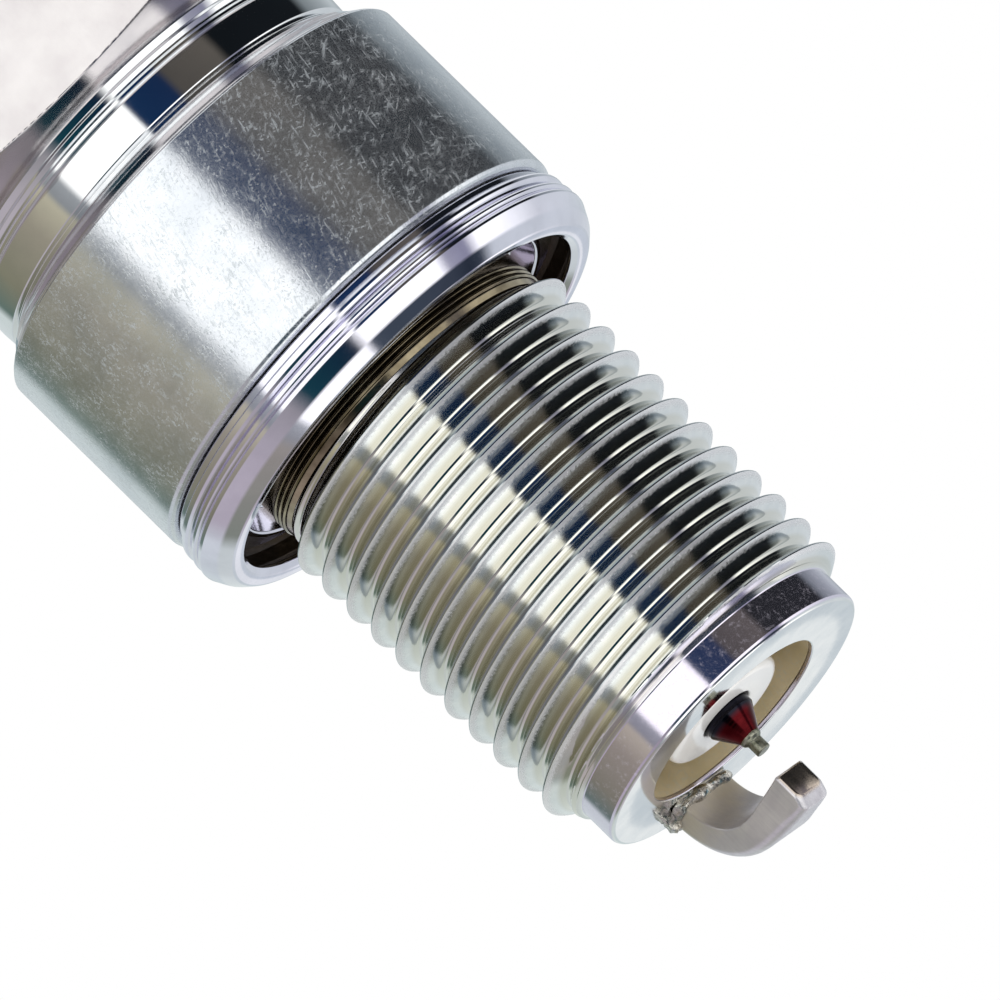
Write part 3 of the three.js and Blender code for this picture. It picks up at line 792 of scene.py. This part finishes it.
def make_centre_electrode(nickel, wire):
    """Nickel rod with a conical end, and the fine wire that stands on it."""
    profile = fillet([(0, -19.74), (0.42, -19.78, 0.05), (1.0, -18.85, 0.08), (1.0, -3.5), (1.75, -2.7),
                      (1.85, -2.5), (1.85, -2.0), (0, -2.0)], closed=False)
    vertices, faces = lathe(profile, SMALL_SIDES, closed=False)
    add_piece("centre_electrode_cone", vertices, faces, "plug", nickel,
              ["centre_electrode"])
    profile = fillet([(0, -20.5), (0.3, -20.5, 0.05), (0.3, -20.0, 0.05), (0.41, -19.9, 0.08),
                      (0.44, -19.76, 0.08), (0.3, -19.65), (0.3, -18.4), (0, -18.4)], closed=False)
    vertices, faces = lathe(profile, SMALL_SIDES, closed=False)
    add_piece("firing_wire", vertices, faces, "plug", wire, ["firing_tip"])


def strap_stations():
    """The strap's centreline in its own plane: (distance from the axis, z, heading in degrees)."""
    half = STRAP["thickness"] / 2
    middle = STRAP["outer"] - half
    floor = STRAP["inner_face"] - half
    sweep = STRAP["bend"] + half
    centre = (middle - sweep, floor + sweep)
    route = [(middle, z, -90.0) for z in np.linspace(-REACH + 0.15, centre[1], 8)[:-1]]
    for turned in np.linspace(0, 90, 40):
        angle = math.radians(-turned)
        along, down = sweep * math.cos(angle), sweep * math.sin(angle)
        route.append((centre[0] + along, centre[1] + down, -90 - turned))
    tip = -STRAP["tip_reach"]
    radii = [*np.linspace(centre[0], tip + 0.3, 14)[1:], *np.linspace(tip + 0.27, tip, 10)]
    route += [(radius, floor, -180.0) for radius in radii]
    return route


def strap_size(radius, z):
    """Width and thickness: the tip is pressed narrower and thicker."""
    from_tip = max(radius + STRAP["tip_reach"], 0) + max(z - STRAP["inner_face"], 0)
    share = min(from_tip / STRAP["taper"], 1.0)
    share = share * share * (3 - 2 * share)
    return (STRAP["tip_width"] + (STRAP["width"] - STRAP["tip_width"]) * share,
            STRAP["tip_thickness"] + (STRAP["thickness"] - STRAP["tip_thickness"]) * share)


def strap_section(half_width, inner, outer):
    """A rectangle with crisp inner corners and rounded outer ones."""
    crisp = 0.09
    soft = min(0.4, half_width * 0.45)
    return fillet([(-half_width, inner, crisp), (half_width, inner, crisp), (half_width, outer, soft),
                   (-half_width, outer, soft)])


def make_strap(material):
    """Strap swept down from the end face and under the wire, its tip narrowed, thickened and cut off."""
    turn = math.radians(STRAP["azimuth"])
    half = STRAP["thickness"] / 2
    vertices = []
    rows = []
    for radius, z, heading in strap_stations():
        outwards = math.radians(heading + 90)
        from_tip = radius + STRAP["tip_reach"]
        level = heading == -180
        cut = 1.7 * max(0.0, 0.28 - from_tip) if level else 0.0
        inset = max(0.0, 0.1 - from_tip) if level else 0.0
        width, thickness = strap_size(radius, z)
        section = strap_section(width / 2 - inset, inset - half, thickness - half - cut)
        rows.append(list(range(len(vertices), len(vertices) + len(section))))
        for across, out in section:
            along = radius + math.cos(outwards) * out
            vertices.append((along * math.cos(turn) - across * math.sin(turn),
                             along * math.sin(turn) + across * math.cos(turn),
                             z + math.sin(outwards) * out))
    faces = skin(rows) + [rows[0][::-1], rows[-1]]
    add_piece("ground_strap", vertices, faces, "plug", material, ["ground_electrode"],
              sharp=30.0)


def make_weld_burr(material):
    """Lumpy bead of weld metal squeezed out round the strap's root, on the shell's end face."""
    turn = math.radians(STRAP["azimuth"])
    middle = STRAP["outer"] - STRAP["thickness"] / 2
    half_width = STRAP["width"] / 2 + 0.02
    half_depth = STRAP["thickness"] / 2 + 0.02
    path = fillet([(-half_width, -half_depth, 0.3), (half_width, -half_depth, 0.3),
                   (half_width, half_depth, 0.4), (-half_width, half_depth, 0.4)])
    loop = []
    for start, end in zip(path, path[1:] + path[:1]):
        steps = max(1, round(math.dist(start, end) / 0.07))
        for k in range(steps):
            share = k / steps
            loop.append((start[0] + (end[0] - start[0]) * share, start[1] + (end[1] - start[1]) * share))
    vertices = []
    rows = []
    around = 18
    for i, (across, out) in enumerate(loop):
        back, ahead = loop[i - 1], loop[(i + 1) % len(loop)]
        heading = math.atan2(ahead[1] - back[1], ahead[0] - back[0])
        side = (math.sin(heading), -math.cos(heading))
        swell = noise.noise(Vector((across * 1.6, out * 1.6, 3.0)))
        size = 0.2 + 0.12 * swell + (0.1 if across > 1.1 and out > 0.2 else 0.0)
        rows.append(list(range(len(vertices), len(vertices) + around)))
        for k in range(around):
            angle = 2 * math.pi * k / around
            spread, rise = math.cos(angle) * size, math.sin(angle) * size * 1.15
            grit = 1 + 0.35 * noise.noise(Vector((across * 4 + spread * 6, out * 4, rise * 6)))
            place_out = middle + out + side[1] * spread * grit
            place_across = across + side[0] * spread * grit
            vertices.append((place_out * math.cos(turn) - place_across * math.sin(turn),
                             place_out * math.sin(turn) + place_across * math.cos(turn),
                             -REACH - 0.2 + rise * grit))
    rows.append(rows[0])
    add_piece("weld_burr", vertices, skin(rows), "plug", material)


# ---- Terminal ---------------------------------------------------------------------------------------

def make_terminal(material):
    """Solid terminal nut, and the threaded stud under it."""
    bottom = 42.85
    profile = fillet([
        (0, TERMINAL_TOP - 1.0), (2.1, TERMINAL_TOP - 1.0), (2.1, bottom + 0.3), (2.4, bottom, 0.05),
        (4.4, bottom, 0.3), (4.4, bottom + 1.4, 0.4), (3.35, bottom + 1.75, 0.3),
        (2.85, bottom + 2.3, 0.4), (2.85, bottom + 3.9, 0.4), (3.175, bottom + 4.5, 0.3),
        (3.175, TERMINAL_TOP - 0.9, 0.5), (2.3, TERMINAL_TOP, 0.35), (0, TERMINAL_TOP),
    ], closed=False)
    vertices, faces = lathe(profile, SMALL_SIDES, closed=False)
    add_piece("terminal_nut_body", vertices, faces, "terminal_nut", material,
              ["terminal_nut"])

    stud_sides = 96
    root, thread_top, thread_bottom = 1.58, 49.6, 43.3
    block = thread_block(1.96, root, 0.7, thread_top, thread_bottom, 0.5, sides=stud_sides,
                         rows_per_turn=14, fades=(0.6, 0.5))
    cap = fillet([(root, thread_top), (1.5, 49.85, 0.1), (1.3, 49.9), (0, 49.9)], closed=False)
    shaft = fillet([(0, 12.2), (1.25, 12.2), (1.55, 12.5), (1.55, 41.75), (3.4, 41.75, 0.1),
                    (3.4, 42.8, 0.2), (1.7, 42.8, 0.1), (root, 43.0, 0.1), (root, thread_bottom)],
                   closed=False)
    vertices, faces = joined(lathe(shaft, stud_sides, closed=False), block,
                             lathe(cap, stud_sides, closed=False))
    add_piece("terminal_stud_body", vertices, faces, "plug", material,
              ["terminal_stud"])


# ---- Assembly ---------------------------------------------------------------------------------------

bpy.context.scene.view_settings.view_transform = "Standard"
make_camera()
make_world()
make_floor()

barrel_plating = plated_steel("barrel_plating", srgb(226, 229, 234), srgb(208, 213, 220),
                              gloss=(0.13, 0.22), grain=0.4, lines=0.2, frost=0.6, metallic=0.95)
gasket_plating = plated_steel("gasket_plating", srgb(234, 233, 244), srgb(222, 221, 232),
                              gloss=(0.06, 0.11), grain=0.1, lines=0.3)
terminal_plating = plated_steel("terminal_plating", srgb(230, 229, 226), srgb(218, 217, 214),
                                gloss=(0.12, 0.22), grain=0.3, lines=0.5)
# Painted reflection: the bore's tan tone stands for the warm reflection down the bore, on real plating
# and frost.
bore_painted_reflection = plated_steel("bore_painted_reflection", srgb(226, 210, 174), srgb(204, 188, 148),
                            gloss=(0.3, 0.45), grain=0.6, lines=0.4, frost=0.3, metallic=0.4)
band_plating = plated_steel("band_plating", srgb(234, 235, 237), srgb(224, 226, 229),
                            gloss=(0.04, 0.08), grain=0.05, lines=0.1)
# Painted shade: the neck under the gasket is given a dark brown tone.
neck_painted_shade = plated_steel("neck_painted_shade", srgb(176, 164, 138), srgb(92, 82, 64),
                            gloss=(0.12, 0.22), grain=0.4, lines=0.5)
# Painted shade: dark brown for the lining inside the gasket's roll.
fold_painted_shade = plated_steel("fold_painted_shade", srgb(92, 78, 56), srgb(70, 58, 42),
                          gloss=(0.3, 0.45), grain=0.6, lines=0.5)

make_shank(thread_plating(), bore_painted_reflection)
make_neck(neck_painted_shade)
make_barrel(barrel_plating)
make_band(band_plating)
make_hexagon(hexagon_plating())
make_crimp(barrel_plating)
make_gasket(gasket_plating, fold_painted_shade)
make_insulator(alumina("glazed_alumina", 0.22, 0.6))
make_centre_electrode(electrode_nickel(), wire_metal())
make_strap(strap_nickel())
make_weld_burr(weld_metal())
make_terminal(terminal_plating)

GLASS = (srgb(44, 42, 42), srgb(84, 80, 78), 6.0, 0.5)
PACKING = (srgb(150, 150, 150), srgb(176, 176, 176), 6.0, 0.4, 1.0)
hidden_looks = {
    "electrode_core": powder("copper", srgb(176, 98, 62), srgb(200, 120, 80), 4.0, 0.35, 1.0),
    "lower_glass_seal": powder("conductive_glass_low", *GLASS),
    "upper_glass_seal": powder("conductive_glass_high", *GLASS),
    "resistor": powder("carbon_glass", srgb(22, 22, 22), srgb(48, 46, 45), 8.0, 0.8),
    "talc_fill": powder("talc", srgb(208, 205, 196), srgb(228, 226, 218), 5.0, 0.95),
    "seat_packing": powder("packing_sheet", *PACKING),
    "lower_packing_ring": powder("packing_wire_low", *PACKING),
    "upper_packing_ring": powder("packing_wire_high", *PACKING),
}
for node_name, look in hidden_looks.items():
    for material_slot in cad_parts[node_name].material_slots:
        material_slot.material = look
